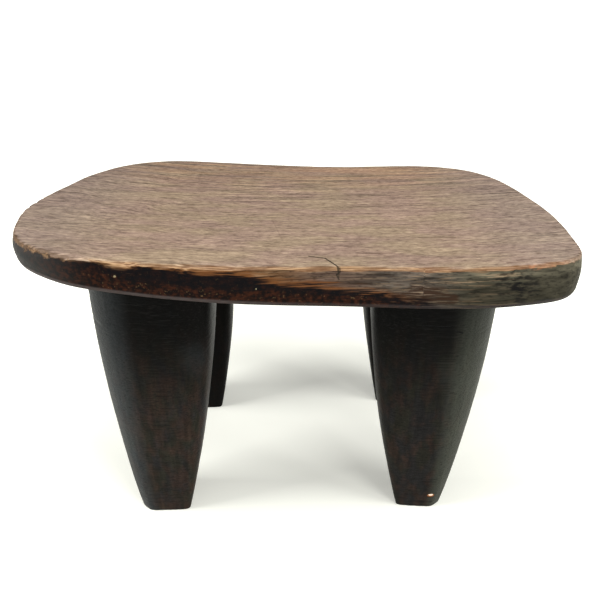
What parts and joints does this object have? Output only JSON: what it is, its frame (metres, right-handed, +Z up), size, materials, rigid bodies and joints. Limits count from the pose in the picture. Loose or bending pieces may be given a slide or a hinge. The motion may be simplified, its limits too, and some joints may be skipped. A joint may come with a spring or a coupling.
{
  "type": "carved wooden stool",
  "caption": "Low carved wooden stool: a dished rounded-rectangular seat on stout bullet-shaped legs that taper to flat feet.",
  "frame": {"origin": "on the floor, under the middle of the seat's outline", "axes": "+Z up, +X along the seat to its thicker right end, -Y to the front edge that the picture shows"},
  "size_m": [0.439, 0.3154, 0.2654],
  "materials": {
    "seat_wood": "worn open-grained hardwood, matt, rubbed pale on top, dark patina on its edge and underside",
    "leg_wood": "smoke-dark hand-cut hardwood with a soft sheen and fine tool marks"
  },
  "bodies": {
    "root": {"seat": "seat_wood", "front_left_leg": "leg_wood", "front_right_leg": "leg_wood", "rear_left_leg": "leg_wood", "rear_right_leg": "leg_wood"}
  },
  "joints": []
}
